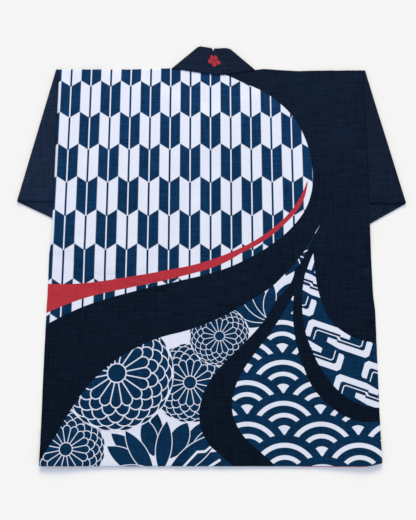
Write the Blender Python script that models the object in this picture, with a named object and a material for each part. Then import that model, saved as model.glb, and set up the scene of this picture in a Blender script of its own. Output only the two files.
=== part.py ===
"""A happi coat, a short straight cotton coat, lying flat with its back up.

Metres. +Z is up, +Y runs from the hem to the collar, and the origin is at the middle of the
bounding box's underside. Each piece of cloth that is cut and sewn is one closed solid. In plan a
point has x from the centre line and a depth, measured from the shoulder line towards the hem.
"""

import bpy
import bmesh
from math import cos, hypot, pi, sin
from mathutils import Vector

# Cloth
WALL = 0.0010  # one layer of cotton
BAND = 0.0018  # the collar band, a strip folded double
SEAM = 0.0003  # between pieces that are sewn together
LAYER_GAP = 0.0004  # between layers that lie on each other
ROLL_STEPS = 4  # steps round a turned edge

# Body
BODY_LENGTH = 0.816  # shoulder line to hem
ARMHOLE = 0.295  # shoulder line to underarm
COLLAR_RISE = 0.055  # collar's highest point above the shoulder line
SHOULDER_Y = (BODY_LENGTH - COLLAR_RISE) / 2
ARMHOLE_ROWS = 11
SIDE_ROWS = 19
PANEL_COLUMNS = 9
BAND_COLUMNS = 3
MIDDLE_COLUMNS = 4
TOP_BLEND = 2 * ARMHOLE / ARMHOLE_ROWS  # below this the rows run straight across

# Sleeve, a straight tube that is turned under along a line from the shoulder to its lower edge
SLEEVE_DEPTH = 0.295
CUFF_X = 0.645  # the cuff's distance from the centre line before the sleeve is turned under
FOLD_TOP_X = 0.3305  # where the turned edge starts, at the shoulder line
FOLD_TIP_X = 0.3970  # where it ends, at the sleeve's lower edge
UPPER_COLUMNS = 3
FOLD_COLUMNS = 6
TURNED_COLUMNS = 6
TUBE_ROWS = 4
TUBE_ROUND = 3  # steps round the tube's own two edges

# Heights
TUBE = 2 * WALL + LAYER_GAP  # thickness of the flattened sleeve
LIFT = TUBE + LAYER_GAP  # height of the body where it lies on the turned sleeves
LIFT_MARGIN = 0.036  # the body stays at that height this far past a sleeve
LIFT_RAMP = 0.036  # and comes down to the floor over this
FOLD_RADIUS = (TUBE + LAYER_GAP) / 2
SLEEVE_MIDDLE = LIFT + TUBE / 2
BACK_ABOVE_FRONT = WALL + LAYER_GAP
BAND_EXTRA = BAND - WALL  # what the band adds under the back panel
SIDE_RADIUS = BACK_ABOVE_FRONT / 2
BAND_LEVEL = BAND / 2  # middle of the band down the fronts, over the body's lowest level
COLLAR_RADIUS = (BAND + LAYER_GAP) / 2
COLLAR_LEVEL = BAND_LEVEL + 2 * COLLAR_RADIUS

# Side edges of the body
#        depth  left    right
SIDE = (
    (0.000, 0.3235, 0.3265),
    (0.295, 0.3220, 0.3240),
    (0.370, 0.3220, 0.3230),
    (0.405, 0.3255, 0.3230),
    (0.490, 0.3250, 0.3230),
    (0.520, 0.3255, 0.3255),
    (0.660, 0.3255, 0.3240),
    (0.816, 0.3235, 0.3225),
)

# Top edge of the body: the shoulders, and between them the neck seam
#      x       rise
TOP = (
    (-0.330, 0.0000),
    (-0.220, 0.0000),
    (-0.083, 0.0040),
    (-0.055, 0.0005),
    (-0.020, -0.0050),
    (0.006, -0.0090),
    (0.024, -0.0100),
    (0.050, -0.0065),
    (0.096, 0.0000),
    (0.113, 0.0026),
    (0.190, -0.0020),
    (0.330, -0.0005),
)

# The band down each front: its seam with the panel, and its free edge
#        depth   left seam, left edge, right seam, right edge
FRONTS = (
    (-0.060, 0.083, 0.027, 0.096, 0.043),
    (0.000, 0.083, 0.027, 0.096, 0.043),
    (0.300, 0.064, 0.006, 0.064, 0.006),
    (0.816, 0.064, 0.006, 0.064, 0.006),
)

# Top edge of the band round the back of the neck, by the part of the way from fold to fold
#      part    x        rise
COLLAR_TOP = (
    (0.000, -0.0260, 0.0530),
    (0.100, -0.0200, 0.0543),
    (0.410, 0.0005, 0.0507),
    (0.508, 0.0056, 0.0447),
    (0.606, 0.0105, 0.0492),
    (0.800, 0.0290, 0.0505),
    (1.000, 0.0412, 0.0480),
)
COLLAR_INSET = 0.003  # from the corner of the neck to the start of each fold
NAVY = (0.010, 0.016, 0.030, 1.0)
PRINT_BLUE = (0.012, 0.055, 0.150, 1.0)
ROUGH = 0.85


def table(rows, at, column):
    """The value in a column of a table at this value of its first column, on straight lines."""
    if at <= rows[0][0]:
        return rows[0][column]
    for low, high in zip(rows, rows[1:]):
        if at <= high[0]:
            part = (at - low[0]) / (high[0] - low[0])
            return low[column] + part * (high[column] - low[column])
    return rows[-1][column]


def mix(a, b, part):
    return a + (b - a) * part


# The turned edge in plan, its direction and its outward normal, on the right side
FOLD_LENGTH = hypot(FOLD_TIP_X - FOLD_TOP_X, SLEEVE_DEPTH)
FOLD_ALONG = ((FOLD_TIP_X - FOLD_TOP_X) / FOLD_LENGTH, SLEEVE_DEPTH / FOLD_LENGTH)
FOLD_OUT = (FOLD_ALONG[1], -FOLD_ALONG[0])
FOLD_INSET = FOLD_RADIUS + TUBE / 2  # the bend starts this far inside the turned edge


def past_fold(x, depth):
    """How far a point of the straight sleeve is past the line where the bend starts."""
    return (x - FOLD_TOP_X) * FOLD_OUT[0] + depth * FOLD_OUT[1] + FOLD_INSET


def turn_under(x, depth, height):
    """Where a point of the straight right sleeve goes when the sleeve is turned under."""
    past = past_fold(x, depth)
    if past <= 0:
        return x, depth, SLEEVE_MIDDLE + height
    x, depth = x - past * FOLD_OUT[0], depth - past * FOLD_OUT[1]
    if past < pi * FOLD_RADIUS:
        turn = past / FOLD_RADIUS
        out = (FOLD_RADIUS + height) * sin(turn)
        level = SLEEVE_MIDDLE - FOLD_RADIUS + (FOLD_RADIUS + height) * cos(turn)
    else:
        out = pi * FOLD_RADIUS - past
        level = SLEEVE_MIDDLE - 2 * FOLD_RADIUS - height
    return x + out * FOLD_OUT[0], depth + out * FOLD_OUT[1], level


def sleeve_outline():
    """Plan corners of the turned part of the right sleeve."""
    cuff_low = turn_under(CUFF_X, SLEEVE_DEPTH, 0)
    cuff_top = turn_under(CUFF_X, 0, 0)
    return (FOLD_TOP_X, 0), (FOLD_TIP_X, SLEEVE_DEPTH), cuff_low[:2], cuff_top[:2]


OUTLINE = sleeve_outline()


def lift(x, depth):
    """Height of the body's lowest layer, which lies on the turned sleeves and comes down past them."""
    outside = 0.0
    for a, b in zip(OUTLINE, OUTLINE[1:] + OUTLINE[:1]):
        length = hypot(b[0] - a[0], b[1] - a[1])
        across = (abs(x) - a[0]) * (b[1] - a[1]) - (depth - a[1]) * (b[0] - a[0])
        outside = max(outside, across / length)
    part = min(max((outside - LIFT_MARGIN) / LIFT_RAMP, 0), 1)
    return LIFT * (1 - part * part * (3 - 2 * part))


def world(x, depth, height):
    return Vector((x, SHOULDER_Y - depth, height))


def finish(name, points, faces, colour):
    """Makes one object of a closed mesh, with its faces turned outwards and its own material."""
    mesh = bpy.data.meshes.new(name)
    mesh.from_pydata(points, [], faces)
    edit = bmesh.new()
    edit.from_mesh(mesh)
    bmesh.ops.triangulate(edit, faces=edit.faces[:], quad_method="FIXED")
    bmesh.ops.recalc_face_normals(edit, faces=edit.faces[:])
    edit.to_mesh(mesh)
    edit.free()
    material = bpy.data.materials.new(name + "_cotton")
    material.use_nodes = True
    shader = material.node_tree.nodes["Principled BSDF"]
    shader.inputs["Base Color"].default_value = colour
    shader.inputs["Roughness"].default_value = ROUGH
    shader.inputs["Metallic"].default_value = 0.0
    mesh.materials.append(material)
    made = bpy.data.objects.new(name, mesh)
    bpy.context.scene.collection.objects.link(made)
    return made


def cloth(name, grid, thick, colour):
    """A wall of this thickness about a grid of middle points. A point that is None leaves a hole."""
    cells = []
    for i in range(len(grid) - 1):
        for j in range(len(grid[0]) - 1):
            corners = ((i, j), (i + 1, j), (i + 1, j + 1), (i, j + 1))
            if all(grid[a][b] is not None for a, b in corners):
                cells.append(corners)
    normals = {}
    for corners in cells:
        a, b, c, d = (grid[i][j] for i, j in corners)
        normal = (c - a).cross(d - b).normalized()
        for corner in corners:
            normals[corner] = normals.get(corner, Vector((0, 0, 0))) + normal
    number, points = {}, []
    for side in (1, -1):
        for (i, j), normal in normals.items():
            number[i, j, side] = len(points)
            points.append(grid[i][j] + normal.normalized() * (side * thick / 2))
    faces, edges = [], {}
    for corners in cells:
        for a, b, c in (corners[:3], (corners[0], corners[2], corners[3])):
            faces.append([number[(*a, 1)], number[(*b, 1)], number[(*c, 1)]])
            faces.append([number[(*c, -1)], number[(*b, -1)], number[(*a, -1)]])
        for a, b in zip(corners, corners[1:] + corners[:1]):
            if (b, a) in edges:
                del edges[b, a]
            else:
                edges[a, b] = True
    for a, b in edges:
        faces.append([number[(*a, 1)], number[(*a, -1)], number[(*b, -1)], number[(*b, 1)]])
    return finish(name, points, faces, colour)


def rows():
    """Depths of the body's rows of points: armhole first, then the side seam."""
    upper = [ARMHOLE * k / ARMHOLE_ROWS for k in range(ARMHOLE_ROWS)]
    return upper + [mix(ARMHOLE, BODY_LENGTH, k / SIDE_ROWS) for k in range(SIDE_ROWS + 1)]


def stations():
    """The body's columns from left to right: a side, a zone and the part of the way across it."""
    left = [(-1, "panel", k / PANEL_COLUMNS) for k in range(PANEL_COLUMNS)]
    left += [(-1, "band", k / BAND_COLUMNS) for k in range(BAND_COLUMNS)]
    middle = [(0, "middle", k / MIDDLE_COLUMNS) for k in range(MIDDLE_COLUMNS)]
    right = [(1, "band", 1 - k / BAND_COLUMNS) for k in range(BAND_COLUMNS)]
    right += [(1, "panel", 1 - k / PANEL_COLUMNS) for k in range(PANEL_COLUMNS + 1)]
    return left + middle + right


def side_x(side, depth, inset):
    """The body's side edge, moved in."""
    return table(SIDE, depth, 1 if side < 0 else 2) - inset


def seam_x(side, depth):
    return table(FRONTS, depth, 1 if side < 0 else 3)


def edge_x(side, depth):
    return table(FRONTS, depth, 2 if side < 0 else 4)


def across(station, depth, inset):
    """x of a column at this depth."""
    side, zone, part = station
    if zone == "middle":
        return mix(-edge_x(-1, depth), edge_x(1, depth), part)
    if zone == "band":
        return side * mix(seam_x(side, depth), edge_x(side, depth), part)
    return side * mix(side_x(side, depth, inset), seam_x(side, depth), part)


def below_top(x, depth, inset):
    """Depth of a row where it follows the uneven top edge, moved in by inset."""
    return depth + (inset - table(TOP, x, 1)) * max(0, 1 - depth / TOP_BLEND)


def at_seam(station):
    """Whether this column is where a front meets the band."""
    return station[1:] in (("panel", 1), ("band", 0))


def back_extra(station):
    """What the band adds under the back panel, none from the next column outwards."""
    return BAND_EXTRA if station[1] != "panel" or at_seam(station) else 0.0


def back_panel():
    """The back, with its shoulder and side edges turned round to the fronts' level."""
    inset = SIDE_RADIUS + WALL / 2
    level = WALL / 2 + BACK_ABOVE_FRONT
    grid = []
    for station in stations():
        panel = station[1] == "panel" or at_seam(station)
        radius = SIDE_RADIUS + back_extra(station) / 2
        column = []
        for turn in range(ROLL_STEPS if panel else 0, 0, -1):
            angle = pi * turn / ROLL_STEPS
            x = across(station, 0, 0.0)
            depth = below_top(x, 0, inset) - radius * sin(angle)
            height = lift(x, 0) + WALL / 2 + radius * (1 + cos(angle))
            column.append(world(x, depth, height))
        column += [None] * (0 if panel else ROLL_STEPS)
        for depth in rows():
            x = across(station, depth, inset if depth >= ARMHOLE - SEAM else 0.0)
            down = below_top(x, depth, inset if panel else 0.0)
            height = lift(x, down) + level + back_extra(station)
            column.append(world(x, down, height))
        grid.append(column)
    for side, end in ((-1, grid[0]), (1, grid[-1])):
        for turn in range(1, ROLL_STEPS + 1):
            angle = pi * turn / ROLL_STEPS
            column = [None] * (ROLL_STEPS + ARMHOLE_ROWS)
            for point in end[ROLL_STEPS + ARMHOLE_ROWS :]:
                out = Vector((side * SIDE_RADIUS * sin(angle), 0, 0))
                column.append(point + out - Vector((0, 0, SIDE_RADIUS * (1 - cos(angle)))))
            grid.insert(0, column) if side < 0 else grid.append(column)
    return cloth("back_panel", grid, WALL, PRINT_BLUE)


def front_panel(name, side):
    """A front, from the shoulder to the hem and from the side seam to the band."""
    inset = SIDE_RADIUS + WALL / 2
    grid = []
    for station in [s for s in stations() if s[0] == side and (s[1] == "panel" or at_seam(s))]:
        column = []
        for depth in rows():
            x = across(station, depth, inset if depth >= ARMHOLE - SEAM else 0.0)
            if station[1] == "panel" and station[2] == 0:
                x -= side * (SEAM if depth >= ARMHOLE - SEAM else 0)
            if at_seam(station):
                x += side * SEAM
            down = below_top(x, depth, inset + SEAM)
            column.append(world(x, down, lift(x, down) + WALL / 2))
        grid.append(column)
    return cloth(name, grid, WALL, NAVY)


def collar_line(x):
    """Ends of the line across the band that starts at this x of the neck seam."""
    low, high = -seam_x(-1, 0) + COLLAR_INSET, seam_x(1, 0) - COLLAR_INSET
    x = min(max(x, low), high)
    part = (x - low) / (high - low)
    seam = Vector((x, table(TOP, x, 1) + SEAM))
    return seam, Vector((table(COLLAR_TOP, part, 1), table(COLLAR_TOP, part, 2)))


def band_line(start, end, height):
    """Points across the band between two plan points, whose second number is the rise."""
    points = []
    for k in range(BAND_COLUMNS + 1):
        at = end.lerp(start, k / BAND_COLUMNS)
        points.append(world(at.x, -at.y, lift(at.x, -at.y) + height))
    return points


def front_line(side, depth):
    """The band across a front. Its first rows fan out from the slanting fold."""
    low, high = collar_line(side)
    fan = max(0, 1 - depth / TOP_BLEND)
    seam = Vector((side * seam_x(side, depth), -depth))
    edge = Vector((side * edge_x(side, depth), -depth))
    straight_low = Vector((side * seam_x(side, 0), 0))
    straight_high = Vector((side * edge_x(side, 0), 0))
    start, end = seam + (low - straight_low) * fan, edge + (high - straight_high) * fan
    return band_line(start, end, BAND_LEVEL)


def fold_line(side, turn):
    """The band as it goes round its fold, turn being 0 at the front and 1 at the neck."""
    low, high = collar_line(side)
    along = (high - low).normalized()
    out = Vector((-along.y, along.x)) * -side
    angle = pi * turn
    shift = out * (COLLAR_RADIUS * sin(angle))
    return band_line(low + shift, high + shift, BAND_LEVEL + COLLAR_RADIUS * (1 - cos(angle)))


def collar():
    """The band, one strip: up one front, folded over, round the neck, and down the other front."""
    grid = [front_line(-1, depth) for depth in reversed(rows())]
    grid += [fold_line(-1, k / ROLL_STEPS) for k in range(1, ROLL_STEPS)]
    for station in stations():
        if station[1] != "panel":
            grid.append(band_line(*collar_line(across(station, 0, 0)), COLLAR_LEVEL))
        elif station == (1, "panel", 1):
            grid.append(band_line(*collar_line(across(station, 0, 0)), COLLAR_LEVEL))
    grid += [fold_line(1, 1 - k / ROLL_STEPS) for k in range(1, ROLL_STEPS)]
    grid += [front_line(1, depth) for depth in rows()]
    return cloth("collar", grid, BAND, NAVY)


def tube_loop(half, inset):
    """Points round a flattened tube: distance from the shoulder edge, and height over its middle."""
    low, high = inset + half, SLEEVE_DEPTH - inset - half
    loop = [(mix(low, high, k / TUBE_ROWS), half) for k in range(TUBE_ROWS + 1)]
    for k in range(1, TUBE_ROUND):
        angle = pi / 2 - pi * k / TUBE_ROUND
        loop.append((high + half * cos(angle), half * sin(angle)))
    loop += [(mix(high, low, k / TUBE_ROWS), -half) for k in range(TUBE_ROWS + 1)]
    for k in range(1, TUBE_ROUND):
        angle = -pi / 2 - pi * k / TUBE_ROUND
        loop.append((low + half * cos(angle), half * sin(angle)))
    return loop


def sleeve_lines(side):
    """Lines across the straight sleeve, armhole first: x at the shoulder edge and at the underarm."""
    armhole = [side_x(side, depth, 0.0) + SEAM for depth in (0.0, ARMHOLE)]

    def fold_line(past):
        shift = (past - FOLD_INSET) / FOLD_OUT[0]
        return FOLD_TOP_X + shift, FOLD_TIP_X + shift

    start, end = fold_line(0.0), fold_line(pi * FOLD_RADIUS)
    lines = []
    for k in range(UPPER_COLUMNS):
        lines.append([mix(a, b, k / UPPER_COLUMNS) for a, b in zip(armhole, start)])
    for k in range(FOLD_COLUMNS):
        lines.append(fold_line(pi * FOLD_RADIUS * k / FOLD_COLUMNS))
    for k in range(TURNED_COLUMNS + 1):
        lines.append([mix(a, CUFF_X, k / TURNED_COLUMNS) for a in end])
    return lines


def sleeve(name, side):
    """A flattened tube, open at the armhole and the cuff, turned under along its slanting line."""
    lines, rings, points, faces = sleeve_lines(side), [], [], []
    for top_x, low_x in lines:
        for half, inset in ((TUBE / 2, 0.0), (LAYER_GAP / 2, WALL)):
            ring = []
            for depth, height in tube_loop(half, inset):
                x, down, level = turn_under(mix(top_x, low_x, depth / SLEEVE_DEPTH), depth, height)
                ring.append(len(points))
                points.append(world(side * x, down, level))
            rings.append(ring)

    def skin(a, b):
        for k in range(len(a)):
            n = (k + 1) % len(a)
            faces.append([a[k], a[n], b[n], b[k]])

    for k in range(len(lines) - 1):
        skin(rings[2 * k], rings[2 * k + 2])
        skin(rings[2 * k + 3], rings[2 * k + 1])
    skin(rings[1], rings[0])
    skin(rings[-2], rings[-1])
    return finish(name, points, faces, NAVY)


def main():
    for old in list(bpy.data.objects):
        bpy.data.objects.remove(old)
    back_panel()
    front_panel("front_left", -1)
    front_panel("front_right", 1)
    sleeve("sleeve_left", -1)
    sleeve("sleeve_right", 1)
    collar()


main()
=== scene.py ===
"""Finishes a happi coat that lies flat with its back up, in dyed slub cotton.

Metres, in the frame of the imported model. +Z is up and +Y runs from the hem to the collar. In plan a
point has x from the centre line and a depth, measured from the shoulder line towards the hem.
"""

from math import cos, exp, hypot, pi, radians, sin

import bpy
import bmesh
from bpy.props import FloatProperty, FloatVectorProperty, PointerProperty
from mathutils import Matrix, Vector, noise

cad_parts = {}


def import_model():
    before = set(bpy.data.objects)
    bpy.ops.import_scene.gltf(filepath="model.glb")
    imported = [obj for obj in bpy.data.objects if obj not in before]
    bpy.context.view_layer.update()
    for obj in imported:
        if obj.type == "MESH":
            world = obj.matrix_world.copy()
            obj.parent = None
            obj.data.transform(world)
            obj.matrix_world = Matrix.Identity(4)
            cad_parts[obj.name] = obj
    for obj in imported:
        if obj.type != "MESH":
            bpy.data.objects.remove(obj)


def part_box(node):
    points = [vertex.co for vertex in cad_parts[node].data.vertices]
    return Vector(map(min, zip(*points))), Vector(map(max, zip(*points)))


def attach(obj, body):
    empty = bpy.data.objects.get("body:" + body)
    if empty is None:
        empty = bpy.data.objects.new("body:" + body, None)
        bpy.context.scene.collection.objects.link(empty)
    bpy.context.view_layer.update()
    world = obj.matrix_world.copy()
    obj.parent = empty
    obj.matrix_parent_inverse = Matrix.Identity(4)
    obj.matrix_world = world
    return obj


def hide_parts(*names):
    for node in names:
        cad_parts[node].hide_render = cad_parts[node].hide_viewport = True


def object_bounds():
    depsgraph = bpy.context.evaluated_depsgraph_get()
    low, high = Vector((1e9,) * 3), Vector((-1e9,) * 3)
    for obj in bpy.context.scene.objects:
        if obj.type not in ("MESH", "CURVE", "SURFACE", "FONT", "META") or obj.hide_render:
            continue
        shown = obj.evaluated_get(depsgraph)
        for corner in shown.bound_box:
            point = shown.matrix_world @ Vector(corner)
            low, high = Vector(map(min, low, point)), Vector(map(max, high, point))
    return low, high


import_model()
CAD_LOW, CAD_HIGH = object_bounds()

bl_info = {
    "name": "Happi Coat",
    "version": (1, 0, 0),
    "blender": (4, 5, 0),
    "location": "3D View > Sidebar > Happi Coat",
    "description": "Finishes a flat happi coat in printed slub cotton",
    "category": "Object",
}

# ---------------------------------------------------------------- plan of the coat

BODY_LENGTH = 0.816  # shoulder line to hem
ARMHOLE = 0.295  # shoulder line to underarm
SHOULDER_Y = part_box("back_panel")[0][1] + BODY_LENGTH
TOP_BLEND = 0.0536  # the uneven top edge dies away over this

# Side edges of the body
#        depth  left    right
SIDE = (
    (0.000, 0.3235, 0.3265),
    (0.295, 0.3220, 0.3240),
    (0.370, 0.3220, 0.3230),
    (0.405, 0.3255, 0.3230),
    (0.490, 0.3250, 0.3230),
    (0.520, 0.3255, 0.3255),
    (0.660, 0.3255, 0.3240),
    (0.816, 0.3235, 0.3225),
)

# Top edge of the body: the shoulders, and between them the neck seam
#      x       rise
TOP = (
    (-0.330, 0.0000),
    (-0.220, 0.0000),
    (-0.083, 0.0040),
    (-0.055, 0.0005),
    (-0.020, -0.0050),
    (0.006, -0.0090),
    (0.024, -0.0100),
    (0.050, -0.0065),
    (0.096, 0.0000),
    (0.113, 0.0026),
    (0.190, -0.0031),
    (0.330, -0.0022),
)

# The band down each front: its seam with the panel, and its free edge
#        depth   left seam, left edge, right seam, right edge
FRONTS = (
    (0.000, 0.083, 0.027, 0.096, 0.043),
    (0.300, 0.064, 0.006, 0.064, 0.006),
    (0.816, 0.064, 0.006, 0.064, 0.006),
)

# Top edge of the band round the back of the neck, by the part of the way from fold to fold
#      part    x        rise
COLLAR_TOP = (
    (0.000, -0.0262, 0.0528),
    (0.070, -0.0215, 0.0545),
    (0.410, 0.0005, 0.0507),
    (0.475, 0.0038, 0.0482),
    (0.508, 0.0056, 0.0420),
    (0.541, 0.0075, 0.0478),
    (0.606, 0.0105, 0.0492),
    (0.800, 0.0290, 0.0505),
    (0.930, 0.0365, 0.0500),
    (1.000, 0.0412, 0.0480),
)
COLLAR_INSET = 0.003
NOTCH_X = 0.0056

# Heights of the layers
TUBE = 0.0024  # a flattened sleeve, over both layers
LIFT = 0.0028  # the body, where it lies on a turned sleeve
LIFT_MARGIN, LIFT_RAMP = 0.036, 0.036  # the body stays up this far outside the sleeve, then sinks
FOLD_RADIUS = 0.0014
SLEEVE_MIDDLE = LIFT + TUBE / 2
FRONT_LEVEL = 0.0005
BACK_LEVEL = 0.0019
BAND_EXTRA = 0.0008  # what the band adds under the back
BAND_LEVEL = 0.0009
BAND_RADIUS = 0.0011
CORNER_CURL = 0.0050  # how far the corners of the hem stand up off the floor
CORNER_WIDE, CORNER_LONG = 0.150, 0.110
CORNER_DRAW = 0.0050  # how far the hem is drawn up at its right corner
RIM = 0.0011  # what the rolled edges take up of the back's width and length
HEM_RADIUS = 0.00055

# Sleeve
SLEEVE_DEPTH = 0.295
CUFF_X = 0.645
FOLD_TOP_X, FOLD_TIP_X = 0.3305, 0.3970
FOLD_LENGTH = hypot(FOLD_TIP_X - FOLD_TOP_X, SLEEVE_DEPTH)
FOLD_OUT = (SLEEVE_DEPTH / FOLD_LENGTH, -(FOLD_TIP_X - FOLD_TOP_X) / FOLD_LENGTH)
FOLD_INSET = FOLD_RADIUS + TUBE / 2
# The right sleeve lies lower, is pulled longer and further out, and its turned part has slipped
SLEEVE_DROP, SLEEVE_PULL, SLEEVE_LEAN, SLEEVE_SLIP = 0.0020, 0.007, 0.010, 0.080

# The right front peeks out below the hem of the back
PEEK, PEEK_X, PEEK_RAMP = 0.0012, (0.150, 0.312), 0.03

# Creases of the back, placed one by one
#     x       depth   half length, half width, height, turn in degrees
CREASES = (
    (-0.210, 0.376, 0.120, 0.0060, -0.0007, 1.0),
    (-0.080, 0.382, 0.060, 0.0050, 0.0004, -2.0),
    (-0.200, 0.440, 0.130, 0.0070, 0.0006, -1.0),
    (-0.050, 0.446, 0.080, 0.0060, -0.0004, 2.0),
    (0.272, 0.352, 0.060, 0.0085, 0.0011, 3.0),
    (0.285, 0.374, 0.050, 0.0070, -0.0008, 5.0),
    (0.262, 0.397, 0.070, 0.0090, 0.0008, -3.0),
    (0.296, 0.428, 0.035, 0.0075, -0.0006, -6.0),
    (0.305, 0.470, 0.030, 0.0080, 0.0006, 8.0),
    (-0.300, 0.345, 0.030, 0.0070, 0.0008, 14.0),
    (-0.305, 0.398, 0.026, 0.0060, 0.0007, -8.0),
    (0.235, 0.245, 0.095, 0.0130, 0.0006, 62.0),
    (-0.265, 0.262, 0.070, 0.0120, 0.0005, -58.0),
    (0.120, 0.700, 0.110, 0.0150, 0.0005, 78.0),
    (-0.120, 0.640, 0.140, 0.0160, 0.0005, 96.0),
    (0.010, 0.120, 0.100, 0.0140, 0.0005, 84.0),
    (0.090, 0.030, 0.040, 0.0060, 0.0005, 30.0),
    (-0.070, 0.026, 0.034, 0.0050, 0.0004, -34.0),
    (0.284, 0.640, 0.050, 0.0090, 0.0005, -12.0),
    (-0.292, 0.590, 0.044, 0.0080, 0.0005, 10.0),
    (0.180, 0.560, 0.090, 0.0110, 0.0004, 12.0),
    (-0.020, 0.300, 0.150, 0.0120, 0.0003, 3.0),
)

# ---------------------------------------------------------------- print, in metres of cloth

FEATHER_WIDTH = 0.0423  # one column of arrow feathers
FEATHER_LENGTH = 0.07145
FEATHER_POINT = 0.0140
FEATHER_X, FEATHER_DEPTH = 0.0208, 0.0266
SHAFT_DARK, SHAFT_PALE = 0.0040, 0.0026

WAVE_X, WAVE_DEPTH = 0.1397, 0.6828  # middle of one scale of the wave pattern
WAVE_WIDTH, WAVE_ROW = 0.1406, 0.0391
WAVE_RADIUS = 0.0800
WAVE_RINGS = ((0.0383, 0.0041), (0.0607, 0.0044))  # radius and half width of the pale rings
WAVE_CORE = 0.0194

CHAIN_TURN = radians(19)
CHAIN_X, CHAIN_DEPTH = 0.198, 0.537
CHAIN_PITCH, CHAIN_ROW, CHAIN_STEP = 0.173, 0.0425, 0.0454
CHAIN_LENGTH, CHAIN_HEIGHT = 0.1248, 0.039
# Bars of one hook
#      along: from, to   across: from, to
HOOK = (
    (-0.0035, 0.0082, 0.0, 0.0345),
    (-0.0035, 0.0660, 0.0, 0.0116),
    (0.0640, 0.0830, 0.0020, 0.0152),
    (0.0, 0.0120, 0.0080, 0.0155),
)
HOOK_LINE = 0.0010  # half the width of the thin line inside the hook

# Flowers, the one in front first. Their places and sizes are traced
#      x        depth   radius
FLOWERS = (
    (-0.1825, 0.643, 0.110),
    (0.0170, 0.571, 0.059),
    (-0.0405, 0.661, 0.076),
    (-0.2745, 0.786, 0.074),
)
PETALS = 16
# Tips of the petals, then of the rings of scales, and how flat each tip is
FLOWER_RINGS = (
    (0.600, 1.0), (0.738, 1.0), (0.850, 1.1), (0.925, 1.35), (0.972, 1.8), (1.000, 2.3),
)
FLOWER_HEART = 0.165
FLOWER_LINE = 0.021
FLOWER_SOFT = 0.006  # width of the edges of the flowers' lines

# Leaves, the one at the back first: tip, foot and half width. At least seven tips are traced
#      tip x   depth    foot x  depth   half width
LEAVES = (
    (-0.190, 0.757, -0.124, 0.808, 0.0145),
    (-0.106, 0.716, -0.103, 0.788, 0.0130),
    (-0.012, 0.734, -0.056, 0.800, 0.0130),
    (0.012, 0.744, -0.040, 0.796, 0.0120),
    (-0.045, 0.737, -0.079, 0.803, 0.0180),
    (-0.197, 0.781, -0.116, 0.830, 0.0165),
    (-0.127, 0.730, -0.108, 0.799, 0.0155),
    (-0.163, 0.752, -0.108, 0.834, 0.0145),
    (0.060, 0.800, -0.085, 0.850, 0.0300),
    (0.016, 0.758, -0.085, 0.836, 0.0180),
    (-0.205, 0.832, -0.100, 0.828, 0.0150),
    (-0.084, 0.734, -0.095, 0.829, 0.0145),
    (0.036, 0.536, 0.105, 0.549, 0.0115),
    (0.032, 0.502, 0.107, 0.543, 0.0145),
    (0.058, 0.474, 0.109, 0.539, 0.0140),
    (0.082, 0.452, 0.112, 0.536, 0.0135),
    (0.160, 0.465, 0.124, 0.516, 0.0115),
    (0.124, 0.468, 0.110, 0.534, 0.0112),
)

# Pale patch over the upper leaves, with a notch in it. Its place and size come from traced points
PATCH_X, PATCH_DEPTH, PATCH_NOTCH, PATCH_END = 0.135, 0.470, 0.0235, 0.131
PATCH_ALONG = (0.62, -0.78)
LEAF_LINE = 0.0016  # pale line round each leaf

# The blossom on the band: its size, and its place from the middle and the neck seam
BLOSSOM_RADIUS, BLOSSOM_ASIDE, BLOSSOM_UP = 0.0142, 0.002, 0.0295

# Pale strokes on the blue: from, to, half width. The last three are traced
STROKES = (
    (-0.056, 0.822, -0.026, 0.791, 0.0021),
    (-0.026, 0.791, -0.011, 0.790, 0.0023),
    (-0.011, 0.790, 0.000, 0.781, 0.0021),
    (-0.010, 0.822, 0.016, 0.806, 0.0024),
    (0.181, 0.404, 0.194, 0.399, 0.0013),
    (0.176, 0.409, 0.185, 0.413, 0.0013),
    (0.175, 0.415, 0.179, 0.426, 0.0013),
)

# Edges of the printed areas: curves through points, each one number as a function of another.
# Most of these points are traced and were put into metres by another program. They are to be drawn
# afresh: see the known breach in report.md.
FEATHER_RIGHT = (  # x at a depth
    (0.000, -0.032), (0.010, 0.025), (0.030, 0.068), (0.050, 0.108), (0.080, 0.147),
    (0.110, 0.173), (0.150, 0.194), (0.200, 0.207), (0.250, 0.210), (0.285, 0.204), (0.320, 0.189),
)
FEATHER_BELOW = (  # depth at an x
    (-0.330, 0.552), (-0.280, 0.525), (-0.235, 0.506), (-0.150, 0.481), (-0.060, 0.460),
    (0.020, 0.439), (0.080, 0.412), (0.130, 0.381), (0.165, 0.350), (0.190, 0.318),
)
RED_EDGE, RED_EDGE_DEPTH = (0.162, 0.304), 0.790  # x of the red stretch of the right front's hem
RED_END, FLOWERS_END = 0.199, 0.223  # x of the points where the red and the flowers run out
WAVES_START, CHAIN_START = 0.491, 0.402  # depth of the points of the waves and the chain
RED_ABOVE = (
    (-0.330, 0.466), (-0.280, 0.467), (-0.190, 0.457), (-0.105, 0.442), (-0.020, 0.424),
    (0.040, 0.402), (0.100, 0.371), (0.135, 0.345), (0.160, 0.320), (0.180, 0.292), (0.199, 0.250),
)
RED_BELOW = (
    (-0.330, 0.528), (-0.300, 0.514), (-0.235, 0.491), (-0.150, 0.472), (-0.065, 0.453),
    (0.020, 0.427), (0.065, 0.402), (0.105, 0.380), (0.140, 0.353), (0.167, 0.326),
    (0.187, 0.298), (0.199, 0.258),
)
FLOWERS_ABOVE = (
    (-0.325, 0.812), (-0.294, 0.759), (-0.270, 0.715), (-0.240, 0.671), (-0.197, 0.627),
    (-0.153, 0.598), (-0.102, 0.575), (-0.043, 0.559), (0.003, 0.542), (0.049, 0.519),
    (0.089, 0.494), (0.122, 0.472), (0.149, 0.446), (0.177, 0.415), (0.197, 0.387), (0.210, 0.364),
    (0.222, 0.345),
)
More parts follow.
